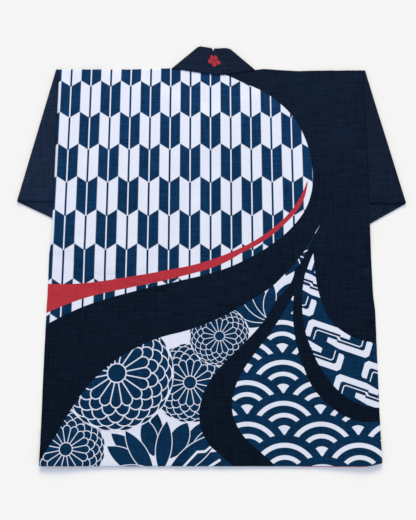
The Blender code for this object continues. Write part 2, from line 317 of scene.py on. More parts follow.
FLOWERS_RIGHT = (
    (0.345, 0.222), (0.362, 0.2125), (0.382, 0.2025), (0.400, 0.194), (0.411, 0.188),
    (0.427, 0.178), (0.440, 0.168), (0.452, 0.165), (0.473, 0.154), (0.498, 0.131),
    (0.536, 0.108), (0.582, 0.068), (0.620, 0.029), (0.659, -0.003), (0.697, -0.019),
    (0.734, -0.022), (0.771, -0.008), (0.795, 0.016), (0.816, 0.042),
)
WAVES_LEFT = (
    (0.490, 0.164), (0.512, 0.151), (0.547, 0.129), (0.577, 0.107), (0.606, 0.085), (0.634, 0.065),
    (0.665, 0.049), (0.692, 0.041), (0.715, 0.041), (0.738, 0.048), (0.764, 0.064),
    (0.786, 0.088), (0.816, 0.122),
)
WAVES_RIGHT = (
    (0.490, 0.165), (0.526, 0.162), (0.563, 0.164), (0.598, 0.170), (0.634, 0.181),
    (0.664, 0.193), (0.690, 0.212), (0.702, 0.224),
)
WAVES_ABOVE = (
    (0.212, 0.690), (0.235, 0.711), (0.261, 0.727), (0.289, 0.735), (0.330, 0.734),
)
CHAIN_LEFT = (
    (0.400, 0.208), (0.436, 0.193), (0.458, 0.186), (0.507, 0.181), (0.538, 0.182),
    (0.563, 0.186), (0.592, 0.194), (0.610, 0.202),
)
CHAIN_BELOW = (
    (0.190, 0.578), (0.209, 0.625), (0.228, 0.655), (0.251, 0.681), (0.277, 0.698),
    (0.300, 0.706), (0.330, 0.709),
)
CHAIN_RIGHT = (
    (0.400, 0.206), (0.436, 0.208), (0.471, 0.212), (0.501, 0.219), (0.529, 0.230),
)
CHAIN_ABOVE = (
    (0.219, 0.501), (0.230, 0.529), (0.244, 0.549), (0.264, 0.565), (0.288, 0.577), (0.330, 0.585),
)


# ---------------------------------------------------------------- stage

FLOOR_HALF, FLOOR_GAP = 60.0, 0.0002
SUN_STRENGTH, SUN_SPREAD, SUN_HEIGHT = 2.281, radians(24), radians(30)
SUN_COLOUR = (1.0, 0.843, 0.449)
SKY_COLOUR, BACKDROP_COLOUR = (0.685, 0.742, 0.885, 1.0), (0.86, 0.865, 0.875, 1.0)
CAMERA_TILT, CAMERA_DISTANCE = radians(13), 1.452  # tilt off straight down
AIM = (-0.0056, -0.0370, 0.002)  # from the middle of the coat

# ---------------------------------------------------------------- sizes and colours to change


def length(name, description, default, low, high):
    """A length in metres with its limits."""
    return FloatProperty(
        name=name, description=description, default=default, min=low, max=high, unit="LENGTH",
    )


class COAT_PG_sizes(bpy.types.PropertyGroup):
    """Sizes of the cloth that can be changed."""

    cloth: length("Cloth", "Thickness of one layer of cotton", 0.0007, 0.0003, 0.0010)
    body_step: length("Back step", "Distance between the points of the back's mesh", 0.0044, 0.003, 0.02)
    hidden_step: length("Hidden step", "The same for the meshes of the fronts", 0.0100, 0.004, 0.03)
    sleeve_step: length("Sleeve step", "The same for the meshes of the sleeves", 0.0055, 0.003, 0.02)
    hem: length("Hem", "Width of the hem that is turned up inside", 0.020, 0.005, 0.05)
    hem_rise: length("Hem rise", "How far the turned hem holds the back off the fronts", 0.0016, 0.0, 0.006)
    swell: length("Swell", "Height of the soft swells across the back", 0.0011, 0.0, 0.004)
    crease: FloatProperty(
        name="Creases", description="Strength of the creases placed by hand",
        default=1.0, min=0.0, max=2.0, subtype="FACTOR",
    )
    pucker: length("Puckers", "Height of the small puckers along the seams", 0.00028, 0.0, 0.001)


def colour(name, description, default):
    """A colour as it shows in the panel."""
    return FloatVectorProperty(
        name=name, description=description, subtype="COLOR", size=3, min=0.0, max=1.0,
        default=default,
    )


class COAT_PG_colours(bpy.types.PropertyGroup):
    """Colours of the dyes and of the floor."""

    navy: colour("Navy", "Ground of the body", (0.0037, 0.0089, 0.0213))
    plain: colour("Plain navy", "Cloth of the sleeves and collar", (0.0078, 0.0150, 0.0345))
    indigo: colour("Indigo", "Blue of the print near the hem", (0.0022, 0.0242, 0.0700))
    sky: colour("Indigo, upper", "Blue of the print near the shoulders", (0.0045, 0.0345, 0.1060))
    pale: colour("Pale", "Cloth that the dye leaves pale", (0.735, 0.775, 0.910))
    red: colour("Red", "The red stroke and the blossom", (0.425, 0.031, 0.046))
    floor: colour("Floor", "The paper that the coat lies on", (0.88, 0.88, 0.88))


# ---------------------------------------------------------------- shader sums written as expressions


class Value:
    """A socket that can be used in sums as a number is."""

    def __init__(self, tree, socket):
        self.tree, self.socket = tree, socket

    def math(self, operation, *others, clamp=False):
        settings = {"operation": operation, "use_clamp": clamp}
        return self.tree.node("ShaderNodeMath", settings, (self, *others))

    def turned(self, operation, other):
        return self.tree.node("ShaderNodeMath", {"operation": operation}, (other, self))

    def __add__(self, other):
        return self.math("ADD", other)

    def __sub__(self, other):
        return self.math("SUBTRACT", other)

    def __mul__(self, other):
        return self.math("MULTIPLY", other)

    def __truediv__(self, other):
        return self.math("DIVIDE", other)

    def __rsub__(self, other):
        return self.turned("SUBTRACT", other)

    def __rtruediv__(self, other):
        return self.turned("DIVIDE", other)

    def __neg__(self):
        return self.math("MULTIPLY", -1.0)

    def __abs__(self):
        return self.math("ABSOLUTE")

    def __gt__(self, other):
        return self.math("GREATER_THAN", other)

    def __lt__(self, other):
        return self.math("LESS_THAN", other)

    __radd__ = __add__
    __rmul__ = __mul__

    def floor(self):
        return self.math("FLOOR")

    def part(self):
        """What is left over the whole number below."""
        return self.math("FRACT")

    def least(self, *others):
        found = self
        for other in others:
            found = found.math("MINIMUM", other)
        return found

    def most(self, *others):
        found = self
        for other in others:
            found = found.math("MAXIMUM", other)
        return found

    def held(self):
        """Kept between 0 and 1."""
        return self.math("ADD", 0.0, clamp=True)

    def edge(self, soft=0.0005):
        """1 where a distance is above zero, with a soft edge this wide."""
        return self.math("MULTIPLY_ADD", 1 / soft, 0.5, clamp=True)

    def towards(self, other, share):
        """This value, moved the given share of the way to another."""
        return self + (other - self) * share


class Tree:
    """The node tree of one material or world."""

    def __init__(self, owner):
        self.owner = owner
        owner.use_nodes = True
        self.nodes, self.links = owner.node_tree.nodes, owner.node_tree.links
        self.nodes.clear()

    def node(self, kind, settings=None, values=(), out=0):
        """Adds a node. Values go by number or by name, and the outputs asked for come back."""
        made = self.nodes.new(kind)
        for name, value in (settings or {}).items():
            if name == "curve":
                line = made.mapping.curves[0]
                line.points[0].location, line.points[1].location = value[0], value[-1]
                for point in value[1:-1]:
                    line.points.new(*point)
                made.mapping.update()
            else:
                setattr(made, name, value)
        named = values.items() if isinstance(values, dict) else enumerate(values)
        for name, value in named:
            if isinstance(value, Value):
                self.links.new(value.socket, made.inputs[name])
            elif value is not None:
                made.inputs[name].default_value = value
        if isinstance(out, tuple):
            return [Value(self, made.outputs[each]) for each in out]
        return Value(self, made.outputs[out]) if len(made.outputs) else None

    def vector(self, operation, *values, out=0):
        return self.node("ShaderNodeVectorMath", {"operation": operation}, values, out)

    def point(self, x, y, z=0.0):
        return self.node("ShaderNodeCombineXYZ", None, (x, y, z))

    def parted(self, vector):
        return self.node("ShaderNodeSeparateXYZ", None, (vector,), (0, 1))

    def length(self, x, y):
        return self.vector("LENGTH", self.point(x, y), out=1)

    def distance(self, point, x, y):
        return self.vector("DISTANCE", point, (x, y, 0.0), out=1)

    def mixed_colour(self, share, first, second):
        settings = {"data_type": "RGBA", "clamp_factor": True}
        return self.node("ShaderNodeMix", settings, {0: share, 6: first, 7: second}, 2)

    def mixed_vector(self, share, first, second):
        settings = {"data_type": "VECTOR", "clamp_factor": True}
        return self.node("ShaderNodeMix", settings, {0: share, 4: first, 5: second}, 1)

    def noise(self, x, y, detail=2.0, rough=0.5):
        """Noise about zero, at a point of its own scale."""
        settings = {"noise_dimensions": "2D"}
        values = {"Vector": self.point(x, y), "Scale": 1.0, "Detail": detail, "Roughness": rough}
        return self.node("ShaderNodeTexNoise", settings, values, 0) - 0.5

    def curve(self, points, value):
        """A smooth curve through points, read at a value."""
        low, high = points[0][0], points[-1][0]
        bottom = min(y for x, y in points)
        height = max(y for x, y in points) - bottom
        scaled = [((x - low) / (high - low), (y - bottom) / height) for x, y in points]
        at = ((value - low) / (high - low)).held()
        return self.node("ShaderNodeFloatCurve", {"curve": scaled}, (1.0, at)) * height + bottom

    def cut_point(self):
        """x and depth on the flat cloth."""
        return self.parted(self.node("ShaderNodeUVMap", {"uv_map": "cut"}))


# ---------------------------------------------------------------- the print


def feathers(x, depth):
    """Arrow feathers in columns, 1 where the cloth is pale."""
    across = (x - FEATHER_X) / FEATHER_WIDTH
    column, part = across.floor(), across.part()
    away = abs(part - 0.5)  # 0 on the shaft, 0.5 at the column's edge
    down = (depth - FEATHER_DEPTH - FEATHER_POINT) / FEATHER_LENGTH
    down = down + away * (2 * FEATHER_POINT / FEATHER_LENGTH)
    row, rest = down.floor(), down.part()
    dark = 1 - ((column + row) * 0.5).part() * 2
    from_side = (0.5 - away) * FEATHER_WIDTH
    from_end = (0.5 - abs(rest - 0.5)) * (FEATHER_LENGTH * 0.8)
    sure = (from_side.least(from_end) * (1 / 0.0008)).held()
    pale = 0.5 + (0.5 - dark) * sure
    off_shaft = away * FEATHER_WIDTH
    shaft = (SHAFT_PALE / 2 + (1 - dark) * ((SHAFT_DARK - SHAFT_PALE) / 2) - off_shaft).edge()
    return pale.towards(dark, shaft)


def waves(tree, x, depth):
    """Scales of rings that overlap like waves, the lower rows in front."""
    row = ((depth + WAVE_RADIUS - WAVE_DEPTH) / WAVE_ROW).floor()
    column = (x - WAVE_X) / WAVE_WIDTH
    odd = (row * 0.5).part() * 2

    def ring(step):
        shift = odd * 0.5 if step % 2 == 0 else 0.5 - odd * 0.5
        across = ((column - shift + 0.5).part() - 0.5) * WAVE_WIDTH
        return tree.length(across, depth - ((row - step) * WAVE_ROW + WAVE_DEPTH))

    first, second, third = (ring(step) for step in range(3))
    in_second = (WAVE_RADIUS - second).edge()
    in_first = (WAVE_RADIUS - first).edge()

    def pale(radius):
        found = (WAVE_CORE - radius).edge()
        for middle, half in WAVE_RINGS:
            found = found + (half - abs(radius - middle)).edge()
        return found

    return pale(third).towards(pale(second), in_second).towards(pale(first), in_first)


def bar(p, q, row):
    """Distance inside a bar."""
    low_p, high_p, low_q, high_q = row
    along = (high_p - low_p) / 2 - abs(p - (high_p + low_p) / 2)
    across = (high_q - low_q) / 2 - abs(q - (high_q + low_q) / 2)
    return along.least(across)


def hook(p, q):
    """Half of a pair of hooked links: the hook, with its corners cut, and the line inside it."""
    arm, run, end, inner = (bar(p, q, row) for row in HOOK)
    arm = arm.least(((p + 0.0035) * 1.4 + 0.0345 - q - 0.0044) * 0.6)
    end = end.least((0.0830 - p + q - 0.0036 - 0.0030) * 0.7)
    inner = inner.least((0.0232 - p - q) * 0.7)
    body = arm.most(run, end, inner).least((p + 0.0035 + q - 0.0060) * 0.7)
    body = body.least(q - (p - 0.056) * 0.21)
    bend = (p - 0.016).least(q - 0.017).least((p + q - 0.033) * 0.7 - 0.0022)
    line = (HOOK_LINE - abs(bend)).least(0.0610 - p).least(0.0374 - q)
    return body.most(line)


def chain(x, depth):
    """Hooked links in slanting rows, 1 where the cloth is pale."""
    along, down = x - CHAIN_X, depth - CHAIN_DEPTH
    p = along * cos(CHAIN_TURN) + down * sin(CHAIN_TURN)
    q = down * cos(CHAIN_TURN) - along * sin(CHAIN_TURN)
    row = ((q + (CHAIN_ROW - CHAIN_HEIGHT) / 2) / CHAIN_ROW).floor()
    q = q - row * CHAIN_ROW
    spare = (CHAIN_PITCH - CHAIN_LENGTH) / 2
    p = ((p + row * CHAIN_STEP + spare) / CHAIN_PITCH).part() * CHAIN_PITCH - spare
    found = hook(p, q).most(hook(CHAIN_LENGTH - p, CHAIN_HEIGHT - q))
    p, q = p - CHAIN_LENGTH / 2, q - CHAIN_HEIGHT / 2
    jog = (0.0034 - abs(q)).least((0.0030 - abs(p - q)) * 0.7)
    return found.most(jog).edge()


def leaf(tree, point, row):
    """Distance inside a leaf with two bowed sides."""
    tip_x, tip_depth, foot_x, foot_depth, half = row
    along = Vector((foot_x - tip_x, foot_depth - tip_depth))
    radius = (along.length_squared / 4 + half * half) / (2 * half)
    middle = Vector((tip_x, tip_depth)) + along / 2
    out = Vector((-along.y, along.x)).normalized() * (radius - half)
    sides = [tree.distance(point, *(middle + out * side)) for side in (1, -1)]
    return radius - sides[0].most(sides[1])


def stroke(tree, point, row):
    """Distance inside a straight stroke with round ends."""
    start, end = Vector((row[0], row[1], 0.0)), Vector((row[2], row[3], 0.0))
    run = end - start
    away = tree.vector("SUBTRACT", point, tuple(start))
    share = (tree.vector("DOT_PRODUCT", away, tuple(run), out=1) / run.length_squared).held()
    near = tree.node(
        "ShaderNodeVectorMath", {"operation": "SCALE"}, {0: tuple(run), "Scale": share}
    )
    return row[4] - tree.vector("DISTANCE", away, near, out=1)


def blossoms(tree, point):
    """Round many-petalled flowers, the nearest in front. Gives where they are and where pale."""
    place, inside = None, None
    for x, depth, radius in reversed(FLOWERS):
        away = tree.vector("SUBTRACT", point, (x, depth, 0.0))
        away = tree.vector("MULTIPLY", away, (1 / radius,) * 3)
        within = (1.008 - tree.vector("LENGTH", away, out=1)).edge(FLOWER_SOFT)
        place = away if place is None else tree.mixed_vector(within, place, away)
        inside = within if inside is None else inside.most(within)
    u, v = tree.parted(place)
    radius = tree.vector("LENGTH", place, out=1)
    sector = v.math("ARCTAN2", u) * (PETALS / (2 * pi)) + 0.5
    straight = abs(sector.part() - 0.5) * 2  # 0 in the middle of a petal, 1 at its side
    half_step = pi / PETALS
    pale = None
    for number in reversed(range(len(FLOWER_RINGS))):
        aside = straight if number % 2 == 0 else 1 - straight
        reach, flat = FLOWER_RINGS[number]
        middle = reach / (1 + half_step / flat)
        tip = middle * half_step
        half = radius * half_step
        beyond = ((radius - middle) * flat).most(0.0)
        inward = half.least(tip) - tree.length(beyond, aside * half)
        line = FLOWER_LINE / 2 * (0.6 + 0.4 * flat)
        shape, blue = (inward + line).edge(FLOWER_SOFT), (inward - line).edge(FLOWER_SOFT)
        pale = (1 - blue) if pale is None else pale.towards(1 - blue, shape)
    heart = (FLOWER_HEART - radius).edge(FLOWER_SOFT)
    ring = (FLOWER_LINE / 2 - abs(radius - FLOWER_HEART)).edge(FLOWER_SOFT)
    return inside, (pale * (1 - heart)).most(ring)


def garden(tree, x, depth, point):
    """Flowers and leaves on a pale ground, 1 where the cloth is pale."""
    c, s = PATCH_ALONG
    along = (x - PATCH_X) * c + (depth - PATCH_DEPTH) * s
    aside = (depth - PATCH_DEPTH) * c - (x - PATCH_X) * s
    notch = PATCH_NOTCH + (aside * 2.5).most(aside * -0.7)
    pale = 1 - (along - notch).edge() * (1 - (along - PATCH_END).edge())
    for row in LEAVES:
        depth_in = leaf(tree, point, row)
        pale = pale.towards(1.0, (depth_in + LEAF_LINE).edge())
        pale = pale.towards(0.0, depth_in.edge())
    for row in STROKES:
        pale = pale.most(stroke(tree, point, row).edge())
    inside, petals = blossoms(tree, point)
    return pale.towards(petals, inside)


def print_masks(tree, x, depth):
    """Where the cloth is printed, where it is pale, and where it is red."""
    point, line = tree.point(x, depth), tree.curve
    feather = (line(FEATHER_RIGHT, depth) - x).least(line(FEATHER_BELOW, x) - depth)
    red = (depth - line(RED_ABOVE, x)).least(line(RED_BELOW, x) - depth).least(RED_END - x)
    flower = (depth - line(FLOWERS_ABOVE, x)).least(line(FLOWERS_RIGHT, depth) - x)
    flower = flower.least(FLOWERS_END - x)
    wave = (line(WAVES_RIGHT, depth) - x).most(depth - line(WAVES_ABOVE, x))
    wave = wave.least(x - line(WAVES_LEFT, depth)).least(depth - WAVES_START)
    link = (line(CHAIN_RIGHT, depth) - x).most(depth - line(CHAIN_ABOVE, x))
    link = link.least(x - line(CHAIN_LEFT, depth), line(CHAIN_BELOW, x) - depth, depth - CHAIN_START)
    areas = [distance.edge() for distance in (feather, flower, wave, link)]
    fills = (
        feathers(x, depth),
        garden(tree, x, depth, point),
        waves(tree, x, depth),
        chain(x, depth),
    )
    printed, pale = areas[0], areas[0] * fills[0]
    for area, fill in zip(areas[1:], fills[1:]):
        printed = printed.most(area)
        pale = pale.most(area * fill)
    return printed, pale, red.edge()


# ---------------------------------------------------------------- cloth materials


def rgb(value, share=1.0):
    return (*(min(1.0, v * share) for v in value), 1.0)


def cotton(name, dye):
    """Slub cotton. dye gives the colour from the tree, x, depth and the shade of the threads."""
    tree = Tree(bpy.data.materials.new(name))
    x, depth = tree.cut_point()
    # Long slubs that run with the warp and the weft, and the fine threads between them
    warp = tree.noise(x * 620, depth * 14)
    weft = tree.noise(x * 12, depth * 560)
    fine = tree.noise(x * 1500, depth * 160, 1.0) + tree.noise(x * 160, depth * 1500, 1.0)
    slub = tree.noise(x * 210, depth * 22) * 0.7 + tree.noise(x * 24, depth * 250)
    cloud = tree.noise(x * 9, depth * 9, 3.0)
    patchy = tree.noise(x * 34, depth * 34) * 2.4 + 1.0  # slubs come and go
    shade = 1 + (warp + weft) * 0.6 + slub * patchy * 0.92 + fine * 0.40 + cloud * 0.30
    colour = dye(tree, x, depth, shade)
    rough = 0.86 + warp * 0.10 + weft * 0.08
    height = (warp + weft + slub) * 0.6 + fine * 0.5
    bump = tree.node(
        "ShaderNodeBump", None, {"Strength": 0.35, "Distance": 0.00025, "Height": height}
    )
    shader = tree.node(
        "ShaderNodeBsdfPrincipled",
        None,
        {
            "Base Color": colour,
            "Roughness": rough,
            "Normal": bump,
            "Specular IOR Level": 0.03,
            "Sheen Weight": 0.004,
            "Sheen Roughness": 0.5,
        },
    )
    tree.node("ShaderNodeOutputMaterial", None, (shader,))
    return tree.owner


def shaded(tree, colour, shade, strength=1.0):
    """A colour made lighter or darker by a share, such as the shade of the threads or a painted shade."""
    share = 1 + (shade - 1) * strength if strength != 1.0 else shade
    if isinstance(colour, tuple):
        colour = colour[:3]
    return tree.node(
        "ShaderNodeVectorMath", {"operation": "SCALE"}, {0: colour, "Scale": share}
    )


def printed_cotton(colours):
    def dye(tree, x, depth, shade):
        printed, pale, red = print_masks(tree, x, depth)
        blue = tree.mixed_colour(
            (depth - 0.10) / 0.45, rgb(colours.sky), rgb(colours.indigo)
        )
        # Painted shade: the navy is lighter towards the collar and darker towards the hem, as the light
        # falls off away from the collar side
        painted_falloff = 1.29 - depth * 0.78
        navy = shaded(tree, rgb(colours.navy), painted_falloff)
        dark = shaded(tree, tree.mixed_colour(printed, navy, blue), shade)
        # Painted shade: the pale cloth is also darker towards the hem, as the light falls off away from the
        # collar side
        light = shaded(tree, tuple(colours.pale), (1.05 - depth * 0.19) + (shade - 1) * 0.07)
        mixed = tree.mixed_colour(pale, dark, light)
        return tree.mixed_colour(red, mixed, shaded(tree, tuple(colours.red), shade, 0.35))

    return cotton("printed_cotton_cloth", dye)


def plain_cotton(name, base, red=None):
    """Plain dyed cotton. red, if given, finds where the cloth is dyed red instead."""

    def dye(tree, x, depth, shade):
        plain = shaded(tree, tuple(base), shade)
        if red is None:
            return plain
        mask, red_colour = red(tree, x, depth)
        return tree.mixed_colour(mask, plain, shaded(tree, tuple(red_colour), shade, 0.35))

    return cotton(name, dye)


# ---------------------------------------------------------------- plan and heights in numbers


def table(rows, at, column):
    """The value in a column of a table at this value of its first column, on straight lines."""
    if at <= rows[0][0]:
        return rows[0][column]
    for low, high in zip(rows, rows[1:]):
        if at <= high[0]:
            share = (at - low[0]) / (high[0] - low[0])
            return low[column] + share * (high[column] - low[column])
    return rows[-1][column]


def mix(a, b, share):
    return a + (b - a) * share


def smooth(share):
    share = min(max(share, 0.0), 1.0)
    return share * share * (3 - 2 * share)


def turn_under(x, depth, height):
    """Where a point of the straight right sleeve goes when the sleeve is turned under."""
    past = (x - FOLD_TOP_X) * FOLD_OUT[0] + depth * FOLD_OUT[1] + FOLD_INSET
    if past <= 0:
        return x, depth, SLEEVE_MIDDLE + height
    x, depth = x - past * FOLD_OUT[0], depth - past * FOLD_OUT[1]
    if past < pi * FOLD_RADIUS:
        turn = past / FOLD_RADIUS
        out = (FOLD_RADIUS + height) * sin(turn)
        level = SLEEVE_MIDDLE - FOLD_RADIUS + (FOLD_RADIUS + height) * cos(turn)
    else:
        out = pi * FOLD_RADIUS - past
        level = SLEEVE_MIDDLE - 2 * FOLD_RADIUS - height
    return x + out * FOLD_OUT[0], depth + out * FOLD_OUT[1], level


OUTLINE = (
    (FOLD_TOP_X, 0.0),
    (FOLD_TIP_X, SLEEVE_DEPTH),
    turn_under(CUFF_X, SLEEVE_DEPTH, 0)[:2],
    turn_under(CUFF_X, 0, 0)[:2],
)


def lift(x, depth):
    """Height of the body's lowest layer, which lies on the turned sleeves."""
    outside = 0.0
    for a, b in zip(OUTLINE, OUTLINE[1:] + OUTLINE[:1]):
        length = hypot(b[0] - a[0], b[1] - a[1])
        across = (abs(x) - a[0]) * (b[1] - a[1]) - (depth - a[1]) * (b[0] - a[0])
        outside = max(outside, across / length)
    curl = 0.0
    if depth > BODY_LENGTH - CORNER_LONG:
        away = hypot((0.325 - abs(x)) / CORNER_WIDE, (BODY_LENGTH - depth) / CORNER_LONG)
        curl = CORNER_CURL * (1 - smooth(away))
    return LIFT * (1 - smooth((outside - LIFT_MARGIN) / LIFT_RAMP)) + curl


def side_x(side, depth):
    return table(SIDE, depth, 1 if side < 0 else 2)


def seam_x(side, depth):
    return table(FRONTS, depth, 1 if side < 0 else 3)


def edge_x(side, depth):
    return table(FRONTS, depth, 2 if side < 0 else 4)


def top_rise(x):
    return table(TOP, x, 1)


def below_top(x, depth, inset):
    return depth + (inset - top_rise(x)) * max(0, 1 - depth / TOP_BLEND)


def from_edge(x, depth):
    """Distance inside the body's nearest side edge."""
    return side_x(-1 if x < 0 else 1, depth) - abs(x)


def band_extra(x, depth):
    """What the band adds under the back panel."""
    side = -1 if x < 0 else 1
    outer, inner = seam_x(side, depth), edge_x(side, depth)
    return BAND_EXTRA * smooth((outer + 0.004 - abs(x)) / 0.006) * smooth(
        (abs(x) - inner + 0.008) / 0.006
    ) if abs(x) > inner - 0.008 else BAND_EXTRA * 0.3


def crease_height(x, depth):
    total = 0.0
    for at_x, at_depth, half_length, half_width, height, turn in CREASES:
        away_x, away_depth = x - at_x, depth - at_depth
        if abs(away_x) + abs(away_depth) > half_length + 4 * half_width + 0.02:
            continue
        c, s = cos(radians(turn)), sin(radians(turn))
        along = away_x * c + away_depth * s
        across = away_depth * c - away_x * s
        across += 0.16 * half_length * (along / half_length) ** 2
        if abs(along) < half_length:
            fade = 1 - (along / half_length) ** 2
            total += height * fade * fade * exp(-((across / half_width) ** 2))
    return total


def swell(x, depth):
    broad = noise.noise(Vector((x * 5.0, depth * 4.2, 3.1)))
    small = noise.noise(Vector((x * 15.0, depth * 13.0, 8.4)))
    return 0.5 + 0.5 * broad + 0.22 * small


def hem_drawn(x, depth):
    """Depth, less what the hem is drawn up at its right corner."""
    return depth - CORNER_DRAW * smooth((x - 0.294) / 0.030) * smooth((depth - 0.72) / 0.09)


def drape(x, depth, sizes):
    """Height of the back over its lowest place, zero at its seams."""
    edge = from_edge(x, depth)
    near_hem = smooth(1 - (BODY_LENGTH - depth) / (2.2 * sizes.hem))
    soft = smooth(edge / 0.045) * smooth((depth + 0.004) / 0.05)
    found = sizes.swell * swell(x, depth) * soft
    found += sizes.hem_rise * near_hem * (0.55 + 0.45 * smooth(edge / 0.02))
    found += sizes.crease * crease_height(x, depth) * smooth(edge / 0.006 + 0.3)
    # Small puckers where the seams draw the cloth in
    ripple = noise.noise(Vector((depth * 62.0, 0.4 if x < 0 else 5.2, 0.7)))
    found += sizes.pucker * 1.8 * ripple * exp(-max(edge, 0.0) / 0.016)
    ripple = noise.noise(Vector((x * 55.0, 9.1, 2.2)))
    found += sizes.pucker * 1.5 * ripple * exp(-(BODY_LENGTH - depth) / 0.014)
    found += sizes.pucker * 2.0 * noise.noise(Vector((x * 70.0, 4.4, 6.0))) * exp(
        -max(depth, 0.0) / 0.016
    )
    return found


def world(x, depth, height):
    return Vector((x, SHOULDER_Y - depth, height))


# ---------------------------------------------------------------- meshes


def make_piece(name, points, faces, uvs, material):
    """One object from points and faces, with a flat-cloth map in metres."""
    mesh = bpy.data.meshes.new(name)
    mesh.from_pydata(points, [], faces)
    layer = mesh.uv_layers.new(name="cut")
    for loop in mesh.loops:
        layer.data[loop.index].uv = uvs[loop.vertex_index]
    edit = bmesh.new()
    edit.from_mesh(mesh)
    bmesh.ops.recalc_face_normals(edit, faces=edit.faces[:])
    for face in edit.faces:
        face.smooth = True
    edit.to_mesh(mesh)
    edit.free()
    mesh.materials.append(material)
    made = bpy.data.objects.new(name, mesh)
    bpy.context.scene.collection.objects.link(made)
    return made


def cloth_piece(name, grid, flat, thick, material):
    """A wall of this thickness about a grid of middle points. None leaves a hole."""
    cells, normals = [], {}
    for i in range(len(grid) - 1):
        for j in range(len(grid[0]) - 1):
            corners = ((i, j), (i + 1, j), (i + 1, j + 1), (i, j + 1))
            if all(grid[a][b] is not None for a, b in corners):
                cells.append(corners)
                a, b, c, d = (grid[m][n] for m, n in corners)
                normal = (c - a).cross(d - b).normalized()
                for corner in corners:
                    normals[corner] = normals.get(corner, Vector((0, 0, 0))) + normal
    number, points, uvs = {}, [], []
    for side in (1, -1):
        for (i, j), normal in normals.items():
            number[i, j, side] = len(points)
            points.append(grid[i][j] + normal.normalized() * (side * thick / 2))
            uvs.append(flat[i][j])
    faces, edges = [], {}
    for corners in cells:
        faces.append([number[(*c, 1)] for c in corners])
        faces.append([number[(*c, -1)] for c in reversed(corners)])
        for a, b in zip(corners, corners[1:] + corners[:1]):
            if (b, a) in edges:
                del edges[b, a]
            else:
                edges[a, b] = True
    for a, b in edges:
        faces.append([number[(*a, 1)], number[(*a, -1)], number[(*b, -1)], number[(*b, 1)]])
    return make_piece(name, points, faces, uvs, material)


def settle(piece, node):
    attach(piece, "root")
    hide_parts(node)


def steps(low, high, step):
    """Even values from low to high, no further apart than step."""
    count = max(1, round((high - low) / step))
    return [mix(low, high, k / count) for k in range(count + 1)]


ROLL = 5  # steps round a turned edge


def build_back(sizes, material):
    """The back, its shoulders and sides rolled down to the fronts and its hem turned up inside."""
    thick = sizes.cloth
    columns = steps(0.0, 1.0, sizes.body_step / 0.65)
    depths = steps(0.0, ARMHOLE, sizes.body_step) + steps(ARMHOLE, BODY_LENGTH, sizes.body_step)[1:]
    grid, flat = [], []

    def place(u, depth):
        rim = RIM if depth > ARMHOLE - 0.0005 else 0.0
        x = mix(-side_x(-1, depth) + rim, side_x(1, depth) - rim, u)
        between = -seam_x(-1, 0) < x < seam_x(1, 0)
        down = hem_drawn(x, below_top(x, depth, 0.0 if between else RIM))
        low = lift(x, down)
        height = BACK_LEVEL + band_extra(x, down) + drape(x, down, sizes)
        if depth <= ARMHOLE - 0.0005:
            height -= 0.0009 * exp(-max(from_edge(x, depth), 0.0) / 0.0016)
        return x, down, low, height, between

    for u in columns:
        column, cut = [], []
        x, down, low, height, between = place(u, 0.0)
        radius = (height - FRONT_LEVEL) / 2
        for k in range(ROLL, 0, -1):
            angle = pi * k / ROLL
            up = low + height - radius * (1 - cos(angle))
            column.append(None if between else world(x, down - 0.9 * radius * sin(angle), up))
            cut.append((x, down - radius * angle))
        for depth in depths:
            x, down, low, height, _ = place(u, depth)
            column.append(world(x, down, low + height))
            cut.append((x, down))
        # The hem turned up inside, between the back and the fronts
        inner = u not in (columns[0], columns[-1])
        for k in range(1, ROLL + 1):
            angle = pi * k / ROLL
            out, under = HEM_RADIUS * sin(angle), HEM_RADIUS * (1 - cos(angle))
            here = world(x, down + out, low + height - under)
            column.append(here if inner else None)
            cut.append((x, down + HEM_RADIUS * angle))
        for back in steps(0.0, sizes.hem, 0.005)[1:]:
            x_in, down_in, low_in, height_in, _ = place(u, BODY_LENGTH - back)
            here = world(x_in, down_in, low_in + height_in - 2 * HEM_RADIUS - 0.0001)
            column.append(here if inner else None)
            cut.append((x_in, BODY_LENGTH + back))
        grid.append(column)
        flat.append(cut)
    first = ROLL + len(steps(0.0, ARMHOLE, sizes.body_step)) - 1
    last = ROLL + len(depths)
    for side, end, cut_end in ((-1, grid[0], flat[0]), (1, grid[-1], flat[-1])):
        for k in range(1, ROLL + 1):
            angle = pi * k / ROLL
            column, cut = [None] * len(end), [(0.0, 0.0)] * len(end)
            for row in range(first, last):
                point = end[row]
                depth = SHOULDER_Y - point.y
                radius = (point.z - lift(point.x, depth) - FRONT_LEVEL) / 2
                out = Vector((side * 0.9 * radius * sin(angle), 0, 0))
                column[row] = point + out - Vector((0, 0, radius * (1 - cos(angle))))
                cut[row] = (cut_end[row][0] + side * radius * angle, cut_end[row][1])
            grid.insert(0, column) if side < 0 else grid.append(column)
            flat.insert(0, cut) if side < 0 else flat.append(cut)
    return cloth_piece("back", grid, flat, thick, material)


